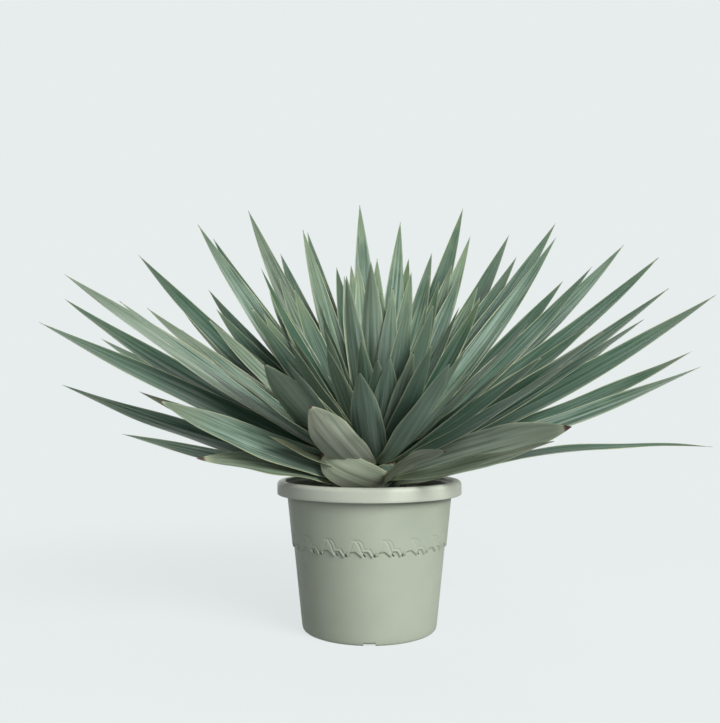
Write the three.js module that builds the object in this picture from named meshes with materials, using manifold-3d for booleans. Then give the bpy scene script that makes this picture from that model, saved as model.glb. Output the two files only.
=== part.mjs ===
// Potted yucca: a rosette of stiff sword leaves on a short stem, planted in a round moulded nursery pot.
// Millimetres, +Z up. The origin is on the pot's axis, on the surface that the pot stands on. Front is -Y.
import * as THREE from 'three';
import { mergeVertices } from 'three/addons/utils/BufferGeometryUtils.js';
import Module from 'manifold-3d';

const wasm = await Module();
wasm.setup();

// ---- Driving dimensions -------------------------------------------------------------------------

const POT_HEIGHT = 236;
const FOOT_RADIUS = 108;
const TOP_RADIUS = 134;            // outside of the wall, just under the rim
const RIM_OVERHANG = 16;           // from the wall to the outside of the turned-down lip
const RIM_DROP = 22;               // how far the lip hangs
const RIM_ROUND = 6;               // rounding of the rim's top edges
const RIM_EDGE_BEVEL = 1;          // bevel of the lip's lower edge
const MOUTH_FLARE = 2;             // how far the mouth stands outside the top of the wall
const WALL = 3;
const FLOOR = 4;
const FOOT_RING_HEIGHT = 4;
const FOOT_RING_WIDTH = 9;
const FOOT_EDGE_ROUND = 3;
const CENTRE_PAD_RADIUS = 24;      // a round pad under the floor, level with the foot ring
const BAND_DROP = 104;             // from the crest of the rim down to the step under the moulded band
const BAND_STEP = 2.6;
const POT_SEGMENTS = 72;

const DRAIN_HOLES = 6;
const DRAIN_HOLE_DIAMETER = 12;
const DRAIN_CIRCLE_RADIUS = 68;
const DRAIN_HOLE_SEGMENTS = 20;
const FOOT_NOTCHES = 3;
const FOOT_NOTCH_WIDTH = 18;
const FOOT_NOTCH_HEIGHT = 3.5;

const SOIL_HEADSPACE = 24;         // from the crest of the rim down to the soil at the wall
const SOIL_MOUND = 9;              // how much higher the soil is at the stem
const FIT_GAP = 0.3;               // clearance between pieces that touch

const STEM_OFFSET = 12;            // the plant stands this far to the right of the pot's axis
const STEM_RADIUS = 38;
const STEM_FOOT_RADIUS = 30;
const STEM_PLANTING_DEPTH = 16;    // how far the stem's foot sits in the soil
const STEM_COLLAR = 3;             // from the soil to the lowest leaf
const STEM_DOME_HEIGHT = 92;
const STEM_SEGMENTS = 32;

const LEAF_BASE_WIDTH = 14;
const LEAF_BASE_THICKNESS = 2.8;
const LEAF_TIP_THICKNESS = 1.4;
const LEAF_CHANNEL = 0.09;         // depth of the blade's channel as a share of its width
const LEAF_QUARTER_THICKNESS = 0.8; // thickness halfway to the edges as a share of the middle's
const LEAF_WIDEST = 0.42;          // where a blade is widest, as a share of its length
const LEAF_TAPER = 1.7;            // above 1, the blade narrows late and then quickly
const LEAF_SEAT_CLEARANCE = 0.8;   // between the stem and the under side of a leaf's base
const LEAF_BASE_HOLLOW = 0.1;      // room under a base for its curve round the stem, as a share of its width
const LEAF_LOWEST_RISE = 4;        // a leaf that rises this little sits at the foot of the dome
const LEAF_SEAT_SHARE = 0.85;      // degrees up the dome for each further degree of rise
const LEAF_TURN_TO_FRONT = 42;     // degrees that the blades at the two sides face the front
const LEAF_RINGS = 8;

// ---- Leaves ---------------------------------------------------------------------------------------
// [bearing, rise, length, width, lift]: bearing in degrees from +X round to +Y, rise of the line from
// base to tip above the level, and lift, the degrees by which the blade curves upward along its length.

const OUTER_LEAVES = [
  [8, 6, 560, 34, -20], [192, 12, 372, 34, 6], [216, 10, 280, 40, 4], [302, 12, 366, 36, 4],
  [178, 17, 515, 42, 10], [219, 19, 360, 42, 10], [322, 16, 310, 46, -6], [351, 20, 500, 40, 8],
  [3, 22, 535, 40, 10], [249, 25, 240, 60, 14], [284, 12, 305, 32, 10], [40, 15, 430, 40, 6],
  [80, 12, 400, 40, 4], [128, 14, 420, 40, 4],
];

const SPREADING_LEAVES = [
  [198, 25, 532, 58, 4], [164, 25, 547, 48, 8], [172, 29, 598, 48, 10], [4, 28, 620, 50, 10],
  [336, 30, 440, 44, 10], [322, 28, 346, 48, 10], [238, 31, 293, 56, 12], [352, 33, 512, 42, 10],
  [190, 33, 550, 56, 4], [205, 33, 448, 48, 10], [7, 37, 580, 48, 10], [290, 32, 282, 50, 14],
  [264, 34, 243, 50, 14], [26, 26, 560, 48, 8], [60, 28, 540, 48, 8], [98, 27, 520, 48, 8],
  [135, 28, 540, 48, 8],
];

const RISING_LEAVES = [
  [24, 39, 642, 48, 10], [160, 40, 582, 44, 10], [9, 43, 478, 40, 12], [146, 41, 480, 42, 12],
  [37, 46.5, 627, 48, 8], [141, 47, 576, 44, 10], [314, 42, 300, 40, 14], [244, 38, 290, 38, 14],
  [28, 48, 540, 42, 10], [53, 45, 650, 48, 8], [152, 50, 556, 44, 8], [126, 49, 675, 46, 8],
  [110, 49, 620, 44, 8], [290, 48, 289, 40, 16], [275, 42, 222, 44, 16], [248, 45, 226, 42, 14],
];

const HEART_LEAVES = [
  [95, 56, 615, 48, 8], [79, 61, 503, 44, 8], [61, 54, 612, 46, 8], [48, 58, 470, 42, 10],
  [124, 61, 470, 40, 8], [262, 51, 217, 34, 12], [256, 58, 295, 34, 12], [278, 60, 270, 34, 14],
  [35, 68, 302, 34, 12], [194, 60, 330, 36, 12],
];

// ---- Sizes that follow ----------------------------------------------------------------------------

const rimRadius = TOP_RADIUS + RIM_OVERHANG;
const mouthRadius = TOP_RADIUS + MOUTH_FLARE;
const rimUnderside = POT_HEIGHT - RIM_DROP;
const bandBottom = POT_HEIGHT - BAND_DROP;
const bandStepTop = bandBottom + BAND_STEP / 2;
const wallSlope = (TOP_RADIUS - FOOT_RADIUS - BAND_STEP) / rimUnderside;
const floorTop = FOOT_RING_HEIGHT + FLOOR;
const soilEdgeHeight = POT_HEIGHT - SOIL_HEADSPACE;
const soilTopHeight = soilEdgeHeight + SOIL_MOUND;
const stemFootHeight = soilTopHeight - STEM_PLANTING_DEPTH;
const collarHeight = soilTopHeight + STEM_COLLAR;
const leafSeatGap = LEAF_SEAT_CLEARANCE + LEAF_BASE_HOLLOW * LEAF_BASE_WIDTH;

// Outside radius of the pot's wall at a height, above or below the moulded band's step.
function wallRadius(height, aboveStep) {
  return FOOT_RADIUS + wallSlope * height + (aboveStep ? BAND_STEP : 0);
}

// Points of a quarter round from one angle to another, in degrees from +X of the profile.
function roundPoints(centreRadius, centreHeight, radius, fromAngle, toAngle, steps = 3) {
  const points = [];
  for (let step = 0; step <= steps; step += 1) {
    const angle = THREE.MathUtils.degToRad(fromAngle + ((toAngle - fromAngle) * step) / steps);
    points.push([centreRadius + radius * Math.cos(angle), centreHeight + radius * Math.sin(angle)]);
  }
  return points;
}

// A turned piece about +Z from [radius, height] points that go up the outside and end on the axis.
function turned(profile, segments) {
  const points = profile.map(([radius, height]) => new THREE.Vector2(radius, height));
  const geometry = new THREE.LatheGeometry(points, segments);
  geometry.rotateX(Math.PI / 2);
  return geometry;
}

function toSolid(geometry) {
  const bare = geometry.clone();
  bare.deleteAttribute('normal');
  bare.deleteAttribute('uv');
  const welded = mergeVertices(bare, 1e-4);
  return new wasm.Manifold(new wasm.Mesh({
    numProp: 3,
    vertProperties: new Float32Array(welded.attributes.position.array),
    triVerts: new Uint32Array(welded.index.array),
  }));
}

function toGeometry(solid) {
  const mesh = solid.getMesh();
  const geometry = new THREE.BufferGeometry();
  geometry.setAttribute('position', new THREE.BufferAttribute(new Float32Array(mesh.vertProperties), 3));
  geometry.setIndex(new THREE.BufferAttribute(new Uint32Array(mesh.triVerts), 1));
  geometry.computeVertexNormals();
  return geometry;
}

// ---- Pot ------------------------------------------------------------------------------------------

function potProfile() {
  const ringInside = FOOT_RADIUS - FOOT_RING_WIDTH;
  const lipInside = rimRadius - WALL;
  const lipRoof = POT_HEIGHT - RIM_ROUND;
  const crestRound = RIM_ROUND / 2;
  return [
    [0, 0],
    [CENTRE_PAD_RADIUS, 0],
    [CENTRE_PAD_RADIUS, FOOT_RING_HEIGHT],
    [ringInside, FOOT_RING_HEIGHT],
    [ringInside, 0],
    ...roundPoints(FOOT_RADIUS - FOOT_EDGE_ROUND, FOOT_EDGE_ROUND, FOOT_EDGE_ROUND, -90, 0),
    [wallRadius(bandBottom, false), bandBottom],
    [wallRadius(bandStepTop, true), bandStepTop],
    [wallRadius(rimUnderside, true), rimUnderside],
    [wallRadius(lipRoof, true), lipRoof],
    [lipInside, lipRoof],
    [lipInside, rimUnderside],
    [rimRadius - RIM_EDGE_BEVEL, rimUnderside],
    [rimRadius, rimUnderside + RIM_EDGE_BEVEL],
    ...roundPoints(rimRadius - RIM_ROUND, lipRoof, RIM_ROUND, 0, 90),
    ...roundPoints(mouthRadius + crestRound, POT_HEIGHT - crestRound, crestRound, 90, 180),
    [wallRadius(rimUnderside, true) - WALL, rimUnderside],
    [wallRadius(bandStepTop, true) - WALL, bandStepTop],
    [wallRadius(bandBottom, false) - WALL, bandBottom],
    [wallRadius(floorTop, false) - WALL, floorTop],
    [0, floorTop],
  ];
}

function makePot() {
  let pot = toSolid(turned(potProfile(), POT_SEGMENTS));
  for (let hole = 0; hole < DRAIN_HOLES; hole += 1) {
    const angle = (2 * Math.PI * hole) / DRAIN_HOLES;
    const radius = DRAIN_HOLE_DIAMETER / 2;
    const cutter = new THREE.CylinderGeometry(radius, radius, 3 * floorTop, DRAIN_HOLE_SEGMENTS);
    cutter.rotateX(Math.PI / 2);
    cutter.translate(DRAIN_CIRCLE_RADIUS * Math.cos(angle), DRAIN_CIRCLE_RADIUS * Math.sin(angle), 0);
    pot = pot.subtract(toSolid(cutter));
  }
  for (let notch = 0; notch < FOOT_NOTCHES; notch += 1) {
    const cutter = new THREE.BoxGeometry(FOOT_NOTCH_WIDTH, 3 * FOOT_RING_WIDTH, 2 * FOOT_NOTCH_HEIGHT);
    cutter.translate(0, -(FOOT_RADIUS - FOOT_RING_WIDTH / 2), 0);
    cutter.rotateZ((2 * Math.PI * notch) / FOOT_NOTCHES);
    pot = pot.subtract(toSolid(cutter));
  }
  return toGeometry(pot);
}

// ---- Stem and soil --------------------------------------------------------------------------------

// The short stem: a planted foot, a collar and a dome that the leaves sit on, grown all over by a gap.
function makeStem(grow) {
  const profile = [
    [0, stemFootHeight - grow],
    [STEM_FOOT_RADIUS + grow, stemFootHeight - grow],
    [STEM_RADIUS + grow, collarHeight],
  ];
  const steps = 7;
  for (let step = 1; step < steps; step += 1) {
    const angle = (Math.PI / 2) * (step / steps);
    profile.push([
      (STEM_RADIUS + grow) * Math.cos(angle),
      collarHeight + (STEM_DOME_HEIGHT + grow) * Math.sin(angle),
    ]);
  }
  profile.push([0, collarHeight + STEM_DOME_HEIGHT + grow]);
  const geometry = turned(profile, STEM_SEGMENTS);
  geometry.translate(STEM_OFFSET, 0, 0);
  return geometry;
}

function makeSoil() {
  const inset = WALL + FIT_GAP;
  const edgeRadius = wallRadius(Math.min(soilEdgeHeight, rimUnderside), true) - inset;
  const profile = [
    [0, floorTop + FIT_GAP],
    [wallRadius(floorTop, false) - inset, floorTop + FIT_GAP],
    [wallRadius(bandBottom, false) - inset, bandBottom],
    [wallRadius(bandStepTop, true) - inset, bandStepTop],
    [edgeRadius, soilEdgeHeight],
  ];
  const steps = 5;
  for (let step = 1; step < steps; step += 1) {
    const share = step / steps;
    const rise = SOIL_MOUND * Math.sin((Math.PI / 2) * share);
    profile.push([edgeRadius * (1 - share), soilEdgeHeight + rise]);
  }
  profile.push([0, soilTopHeight]);
  const soil = toSolid(turned(profile, POT_SEGMENTS));
  return toGeometry(soil.subtract(toSolid(makeStem(FIT_GAP))));
}

// ---- Leaves ---------------------------------------------------------------------------------------

// A blade is narrow at its base, widest a little below the middle and runs out to a sharp point.
function bladeWidth(share, width) {
  if (share < LEAF_WIDEST) {
    return LEAF_BASE_WIDTH + (width - LEAF_BASE_WIDTH) * Math.sin((Math.PI / 2) * (share / LEAF_WIDEST));
  }
  return width * (1 - ((share - LEAF_WIDEST) / (1 - LEAF_WIDEST)) ** LEAF_TAPER);
}

// One section as [across, up] pairs: left edge, under side, right edge and upper side.
function bladeSection(width, thickness) {
  const channel = LEAF_CHANNEL * width;
  const half = thickness / 2;
  const quarterHalf = half * LEAF_QUARTER_THICKNESS;
  const quarterUp = channel / 4;
  return [
    [-width / 2, channel],
    [-width / 4, quarterUp - quarterHalf],
    [0, -half],
    [width / 4, quarterUp - quarterHalf],
    [width / 2, channel],
    [width / 4, quarterUp + quarterHalf],
    [0, half],
    [-width / 4, quarterUp + quarterHalf],
  ];
}

// A place and a direction on the blade's middle line, which is an arc over the chord from base to tip.
function bladeLine(share, length, lift) {
  const turn = THREE.MathUtils.degToRad(lift === 0 ? 0.01 : lift);
  const radius = length / (2 * Math.sin(turn / 2));
  const angle = turn * (share - 0.5);
  return {
    along: length / 2 + radius * Math.sin(angle),
    above: radius * (Math.cos(turn / 2) - Math.cos(angle)),
    angle,
  };
}

function makeLeaf([bearing, rise, length, width, lift]) {
  const heading = THREE.MathUtils.degToRad(bearing);
  const climb = THREE.MathUtils.degToRad(rise);
  const level = new THREE.Vector3(Math.cos(heading), Math.sin(heading), 0);
  const up = new THREE.Vector3(0, 0, 1);

  const seat = THREE.MathUtils.degToRad((rise - LEAF_LOWEST_RISE) * LEAF_SEAT_SHARE);
  const outward = new THREE.Vector2(Math.cos(seat) / STEM_RADIUS, Math.sin(seat) / STEM_DOME_HEIGHT);
  outward.normalize().multiplyScalar(leafSeatGap);
  const base = level.clone().multiplyScalar(STEM_RADIUS * Math.cos(seat) + outward.x);
  base.x += STEM_OFFSET;
  base.z = collarHeight + STEM_DOME_HEIGHT * Math.sin(seat) + outward.y;

  const chord = level.clone().multiplyScalar(Math.cos(climb)).addScaledVector(up, Math.sin(climb));
  const normal = level.clone().multiplyScalar(-Math.sin(climb)).addScaledVector(up, Math.cos(climb));
  const flat = new THREE.Vector3(-Math.sin(heading), Math.cos(heading), 0);
  const roll = THREE.MathUtils.degToRad(LEAF_TURN_TO_FRONT) * Math.cos(heading);

  const points = [];
  for (let ring = 0; ring <= LEAF_RINGS; ring += 1) {
    const share = ring / LEAF_RINGS;
    const line = bladeLine(share, length, lift);
    const centre = base.clone().addScaledVector(chord, line.along).addScaledVector(normal, line.above);
    if (ring === LEAF_RINGS) {
      points.push(centre);
      break;
    }
    const raised = normal.clone().multiplyScalar(Math.cos(line.angle));
    raised.addScaledVector(chord, -Math.sin(line.angle));
    const across = flat.clone().multiplyScalar(Math.cos(roll)).addScaledVector(raised, Math.sin(roll));
    const face = raised.clone().multiplyScalar(Math.cos(roll)).addScaledVector(flat, -Math.sin(roll));
    const thickness = THREE.MathUtils.lerp(LEAF_BASE_THICKNESS, LEAF_TIP_THICKNESS, share);
    for (const [side, height] of bladeSection(bladeWidth(share, width), thickness)) {
      points.push(centre.clone().addScaledVector(across, side).addScaledVector(face, height));
    }
  }
  return bladeGeometry(points);
}

// Closes a blade: strips between rings of eight points, a point at the tip and a flat base.
function bladeGeometry(points) {
  const index = [];
  for (let ring = 0; ring < LEAF_RINGS; ring += 1) {
    for (let side = 0; side < 8; side += 1) {
      const here = ring * 8 + side;
      const next = ring * 8 + ((side + 1) % 8);
      if (ring === LEAF_RINGS - 1) {
        index.push(here, next, points.length - 1);
      } else {
        index.push(here, next, next + 8, here, next + 8, here + 8);
      }
    }
  }
  index.push(0, 7, 1, 7, 6, 2, 7, 2, 1, 6, 5, 3, 6, 3, 2, 5, 4, 3);
  const geometry = new THREE.BufferGeometry();
  geometry.setFromPoints(points);
  geometry.setIndex(index);
  geometry.computeVertexNormals();
  return geometry;
}

// Cuts a blade back where it would run into blades that are already in place.
function trimmedLeaf(geometry, placed) {
  const solid = toSolid(geometry);
  const inTheWay = placed.filter((other) => !solid.intersect(other).isEmpty());
  if (inTheWay.length === 0) {
    placed.push(solid);
    return geometry;
  }
  const cut = inTheWay.reduce((left, other) => left.subtract(other), solid);
  placed.push(cut);
  return toGeometry(cut);
}

// ---- Assembly -------------------------------------------------------------------------------------

const yucca = new THREE.Group();

function addPiece(name, geometry, color, roughness) {
  const material = new THREE.MeshStandardMaterial({ color, roughness, metalness: 0 });
  const mesh = new THREE.Mesh(geometry, material);
  mesh.name = name;
  yucca.add(mesh);
}

addPiece('pot', makePot(), 0xaab2a3, 0.6);
addPiece('soil', makeSoil(), 0x2e2620, 0.95);
addPiece('stem', makeStem(0), 0x8a8768, 0.8);

const tiers = [
  ['outer_leaf', OUTER_LEAVES, 0x6d7f68],
  ['spreading_leaf', SPREADING_LEAVES, 0x6c8170],
  ['rising_leaf', RISING_LEAVES, 0x74896f],
  ['heart_leaf', HEART_LEAVES, 0x849a83],
];
const placedLeaves = [];
for (const [name, leaves, color] of tiers) {
  leaves.forEach((leaf, place) => {
    const number = String(place + 1).padStart(2, '0');
    addPiece(`${name}_${number}`, trimmedLeaf(makeLeaf(leaf), placedLeaves), color, 0.55);
  });
}

export default yucca;
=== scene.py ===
"""Potted yucca: the detailed model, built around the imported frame."""

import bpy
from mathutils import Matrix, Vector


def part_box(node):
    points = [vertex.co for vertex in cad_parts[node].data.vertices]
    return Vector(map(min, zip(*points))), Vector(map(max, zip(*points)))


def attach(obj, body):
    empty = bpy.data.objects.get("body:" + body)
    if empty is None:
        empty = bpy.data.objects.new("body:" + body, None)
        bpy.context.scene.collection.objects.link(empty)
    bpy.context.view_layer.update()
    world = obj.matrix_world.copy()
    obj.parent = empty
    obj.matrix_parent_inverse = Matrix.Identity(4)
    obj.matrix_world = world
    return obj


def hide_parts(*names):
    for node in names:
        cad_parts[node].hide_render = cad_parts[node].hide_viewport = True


bl_info = {
    "name": "Potted Yucca",
    "version": (1, 0, 0),
    "blender": (4, 5, 0),
    "location": "View3D > Sidebar > Yucca",
    "description": "Builds a potted yucca: moulded pot, soil, stem and a rosette of sword leaves",
    "category": "Object",
}

import math
from collections import namedtuple

import bmesh
import bpy
import numpy as np
from mathutils import Vector

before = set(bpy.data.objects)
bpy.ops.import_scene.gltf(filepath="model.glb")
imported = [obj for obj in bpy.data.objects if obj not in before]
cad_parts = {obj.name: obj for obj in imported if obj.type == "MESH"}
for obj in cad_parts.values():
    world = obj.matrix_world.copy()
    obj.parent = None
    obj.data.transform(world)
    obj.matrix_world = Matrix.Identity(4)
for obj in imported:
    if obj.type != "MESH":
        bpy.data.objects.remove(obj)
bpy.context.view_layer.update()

BODY = "root"
POT_LOW, POT_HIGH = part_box("pot")
SOIL_LOW, SOIL_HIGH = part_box("soil")
STEM_LOW, STEM_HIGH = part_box("stem")
MM = 0.001

# The dome is 92 of the stem's 111 mm.
STEM_X = (STEM_LOW.x + STEM_HIGH.x) / 2
STEM_RADIUS = (STEM_HIGH.x - STEM_LOW.x) / 2
STEM_TALL = STEM_HIGH.z - STEM_LOW.z
STEM_DOME = 92 / 111 * STEM_TALL


# ---- Settings ---------------------------------------------------------------------------------------

def colour(name, description, default):
    return bpy.props.FloatVectorProperty(
        name=name, description=description, default=default, subtype="COLOR", size=3, min=0.0, max=1.0
    )


def length(name, description, default):
    return bpy.props.FloatProperty(name=name, description=description, default=default, unit="LENGTH")


def tilt(name, description, default):
    return bpy.props.FloatProperty(
        name=name, description=description, default=math.radians(default), subtype="ANGLE"
    )


def amount(name, description, default):
    return bpy.props.FloatProperty(name=name, description=description, default=default, min=0.0)


def whole_number(name, description, default, least):
    return bpy.props.IntProperty(name=name, description=description, default=default, min=least)


class YuccaPotSettings(bpy.types.PropertyGroup):
    """Sizes and colours of the pot."""

    wall_colour: colour("Wall colour", "Grey-green of the moulded plastic", (0.365, 0.405, 0.330))
    shade_colour: colour("Shade colour", "Slightly darker green, without dust", (0.335, 0.378, 0.303))
    motifs: whole_number("Motifs", "Arches round the moulded band", 18, 4)
    band_step: length("Band step", "How far the wall stands out above the band", 2.6 * MM)
    groove_depth: length("Groove depth", "Depth of the lines that draw the arches", 1.2 * MM)


class YuccaSoilSettings(bpy.types.PropertyGroup):
    """Colours and crumbs of the potting mix."""

    wet_colour: colour("Wet colour", "Moist potting mix", (0.018, 0.012, 0.009))
    dry_colour: colour("Dry colour", "Dry crumbs and bark fibre", (0.085, 0.050, 0.034))
    crumbs: whole_number("Crumbs", "Loose crumbs on top", 520, 0)
    crumb_size: length("Crumb size", "Radius of a middling crumb", 2.2 * MM)


class YuccaLeafSettings(bpy.types.PropertyGroup):
    """Colours and fineness of the leaves."""

    stations: whole_number("Stations", "Steps along a blade", 44, 8)
    columns: whole_number("Columns", "Points across a blade", 17, 5)
    green: colour("Green", "Blue-green of a grown blade", (0.116, 0.196, 0.136))
    bloom: colour("Bloom", "Pale waxy bloom on the blade", (0.275, 0.385, 0.325))
    dust: colour("Dust", "Pale grey-beige worn bloom of old blades", (0.345, 0.378, 0.305))
    deep: colour("Deep green", "Darker lengthwise stripes", (0.022, 0.070, 0.038))
    olive: colour("Olive", "Older blades turn olive", (0.180, 0.190, 0.105))
    margin: colour("Margin", "Thin yellow edge of a blade", (0.44, 0.48, 0.31))
    spine: colour("Spine", "Dry brown point", (0.060, 0.032, 0.024))
    pleat: length("Pleat", "Height of the lengthwise pleats", 0.75 * MM)
    thickness: length("Thickness", "Blade thickness at its base", 3.0 * MM)


class YuccaStageSettings(bpy.types.PropertyGroup):
    """Floor, light and camera."""

    backdrop: colour("Backdrop", "Even pale colour of floor and backdrop", (0.799, 0.847, 0.847))
    shadow_share: amount("Shadow share", "How much of the floor's paleness is lit by the lamps", 0.14)
    key_power: amount("Key power", "Soft key light, in watts", 134.0)
    front_power: amount("Front power", "Soft low front light, in watts", 25.0)
    fill_power: amount("Fill power", "Weak fill light, in watts", 11.0)
    top_power: amount("Top power", "Overhead light, in watts", 38.0)
    rear_power: amount("Rear power", "Soft low light from behind, in watts", 45.0)
    sky: amount("Sky", "Strength of the even light all round", 0.15)
    camera_distance: length("Camera distance", "From the pot's axis", 1.25)
    camera_height: length("Camera height", "Above the floor", 0.345)
    camera_tilt: tilt("Camera tilt", "Upward tilt", 3.88)
    camera_turn: tilt("Camera turn", "Turn to the left", 0.70)
    lens: amount("Lens", "Focal length, in mm", 37.6)


# ---- Material helpers -------------------------------------------------------------------------------

class Nodes:
    """Builds one node material, a node at a time."""

    def __init__(self, name):
        self.material = bpy.data.materials.new(name)
        self.material.use_nodes = True
        self.tree = self.material.node_tree
        self.tree.nodes.clear()
        self.output = self.tree.nodes.new("ShaderNodeOutputMaterial")

    def add(self, kind, sockets=None, **settings):
        made = self.tree.nodes.new(kind)
        for key, value in settings.items():
            setattr(made, key, value)
        for key, value in (sockets or {}).items():
            if isinstance(value, bpy.types.NodeSocket):
                self.tree.links.new(value, made.inputs[key])
            else:
                made.inputs[key].default_value = value
        return made

    def attribute(self, name, output="Fac"):
        return self.add("ShaderNodeAttribute", attribute_name=name).outputs[output]

    def math(self, operation, first, second=0.0):
        made = self.add("ShaderNodeMath", {0: first, 1: second}, operation=operation)
        return made.outputs[0]

    def span(self, value, low, high, to_low=0.0, to_high=1.0):
        made = self.add(
            "ShaderNodeMapRange",
            {"Value": value, "From Min": low, "From Max": high, "To Min": to_low, "To Max": to_high},
            interpolation_type="SMOOTHSTEP",
        )
        return made.outputs[0]

    def scaled(self, vector, scale):
        return self.add("ShaderNodeMapping", {"Vector": vector, "Scale": scale}).outputs[0]

    def noise(self, vector, scale, detail=3.0, roughness=0.55):
        sockets = {"Vector": vector, "Scale": scale, "Detail": detail, "Roughness": roughness}
        return self.add("ShaderNodeTexNoise", sockets).outputs[0]

    def mix(self, share, first, second, blend="MIX"):
        made = self.tree.nodes.new("ShaderNodeMix")
        made.data_type = "RGBA"
        made.blend_type = blend
        for socket, value in ((made.inputs[0], share), (made.inputs[6], first), (made.inputs[7], second)):
            if isinstance(value, bpy.types.NodeSocket):
                self.tree.links.new(value, socket)
            elif isinstance(value, (int, float)):
                socket.default_value = value
            else:
                socket.default_value = (*value, 1.0)
        return made.outputs[2]

    def bump(self, height, distance, strength=1.0):
        sockets = {"Height": height, "Distance": distance, "Strength": strength}
        return self.add("ShaderNodeBump", sockets).outputs[0]

    def surface(self, sockets):
        shader = self.add("ShaderNodeBsdfPrincipled", sockets)
        self.tree.links.new(shader.outputs[0], self.output.inputs[0])
        return self.material


def place_of_surface(nodes):
    return nodes.add("ShaderNodeTexCoord").outputs["Object"]


# ---- Mesh helpers -----------------------------------------------------------------------------------

def new_piece(name, points, faces, material, replaced=(), attributes=None, crease=None):
    """A smooth mesh piece that rides on the part's body. Edges between points of the crease are sharp."""
    mesh = bpy.data.meshes.new(name)
    mesh.from_pydata(np.asarray(points).tolist(), [], faces)
    mesh.polygons.foreach_set("use_smooth", [True] * len(mesh.polygons))
    if crease is not None:
        ends = np.empty(2 * len(mesh.edges), np.int32)
        mesh.edges.foreach_get("vertices", ends)
        sharp = crease[ends.reshape(-1, 2)].all(axis=1)
        mesh.attributes.new("sharp_edge", "BOOLEAN", "EDGE").data.foreach_set("value", sharp)
    for key, values in (attributes or {}).items():
        values = np.asarray(values, np.float32)
        kind, field = ("FLOAT_VECTOR", "vector") if values.ndim == 2 else ("FLOAT", "value")
        mesh.attributes.new(key, kind, "POINT").data.foreach_set(field, values.ravel())
    mesh.materials.append(material)
    mesh.update()
    piece = bpy.data.objects.new(name, mesh)
    bpy.context.scene.collection.objects.link(piece)
    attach(piece, BODY)
    if replaced:
        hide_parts(*replaced)
    return piece


def spline(values, wanted):
    """A smooth curve through values at even shares from 0 to 1, read at the wanted shares."""
    values = np.asarray(values, float)
    count = len(values)
    slopes = np.gradient(values, axis=0)
    place = np.clip(np.asarray(wanted) * (count - 1), 0, count - 1 - 1e-9)
    low = place.astype(int)
    part = place - low
    if values.ndim == 2:
        part = part[:, None]
    h00 = 2 * part**3 - 3 * part**2 + 1
    h10 = part**3 - 2 * part**2 + part
    h01 = 3 * part**2 - 2 * part**3
    h11 = part**3 - part**2
    return h00 * values[low] + h10 * slopes[low] + h01 * values[low + 1] + h11 * slopes[low + 1]


def unit(vectors):
    return vectors / np.maximum(np.linalg.norm(vectors, axis=-1, keepdims=True), 1e-12)


def turned_mesh(profile, segments, reshape=None):
    """Points and faces of a piece turned about +Z from [radius, height] points, closed on the axis."""
    profile = np.asarray(profile, float)
    inner = profile[1:-1]
    angles = np.linspace(0.0, 2 * math.pi, segments, endpoint=False)
    radius = np.repeat(inner[:, 0][:, None], segments, axis=1)
    height = np.repeat(inner[:, 1][:, None], segments, axis=1)
    around = np.repeat(angles[None, :], len(inner), axis=0)
    if reshape:
        radius, height = reshape(radius, height, around)
    rings = np.stack([radius * np.cos(around), radius * np.sin(around), height], axis=-1)
    points = np.vstack([rings.reshape(-1, 3), [0, 0, profile[0, 1]], [0, 0, profile[-1, 1]]])
    first, last = len(points) - 2, len(points) - 1
    faces = []
    for ring in range(len(inner) - 1):
        for here in range(segments):
            side = (here + 1) % segments
            low = ring * segments
            faces.append((low + here, low + side, low + segments + side, low + segments + here))
    top = (len(inner) - 1) * segments
    for here in range(segments):
        side = (here + 1) % segments
        faces.append((first, side, here))
        faces.append((last, top + here, top + side))
    return points, faces


# ---- Pot --------------------------------------------------------------------------------------------

WALL = 3 * MM
RIM_TOP = POT_HIGH.z
RIM_RADIUS = POT_HIGH.x
RIM_ROUND = 6 * MM
MOUTH_RADIUS = RIM_RADIUS - 14 * MM
MOUTH_ROUND = 4 * MM
LIP_UNDER = RIM_TOP - 22 * MM
WALL_TOP_RADIUS = 134 * MM
FOOT_RADIUS = RIM_RADIUS - 42 * MM
FOOT_ROUND = 4 * MM
FOOT_RING_INSIDE = FOOT_RADIUS - 9 * MM
FOOT_RING_HEIGHT = 4 * MM
PAD_RADIUS = 24 * MM
FLOOR_TOP = 8 * MM
BAND_LOW = 118 * MM
BAND_EDGE = 132 * MM
BAND_HIGH = 160 * MM


def pot_material(settings):
    nodes = Nodes("pot_plastic")
    place = place_of_surface(nodes)
    cloud = nodes.noise(place, 9.0, 4.0)
    fine = nodes.noise(place, 900.0, 2.0)
    base = nodes.mix(nodes.span(cloud, 0.35, 0.7), settings.shade_colour, settings.wall_colour)
    grain = nodes.mix(nodes.span(fine, 0.3, 0.75, 0.0, 0.10), base, (0.46, 0.50, 0.42))
    height = nodes.add("ShaderNodeSeparateXYZ", {"Vector": place}).outputs["Z"]
    # Painted light: the rim above the lip's underside is mixed paler, standing in for the light that falls on
    # it from above.
    painted_rim_light = nodes.span(height, LIP_UNDER - 1.2 * MM, LIP_UNDER - 0.4 * MM, 0.0, 0.60)
    grain = nodes.mix(painted_rim_light, grain, (0.52, 0.555, 0.48))
    rough = nodes.span(nodes.noise(place, 60.0, 3.0), 0.3, 0.7, 0.50, 0.62)
    normal = nodes.bump(fine, 0.05 * MM, 0.35)
    return nodes.surface({
        "Base Color": grain, "Roughness": rough, "Normal": normal, "Specular IOR Level": 0.42,
    })


def arc(centre, radius, start, stop, steps):
    angles = np.radians(np.linspace(start, stop, steps))
    return [(centre[0] + radius * math.cos(a), centre[1] + radius * math.sin(a)) for a in angles]


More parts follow.
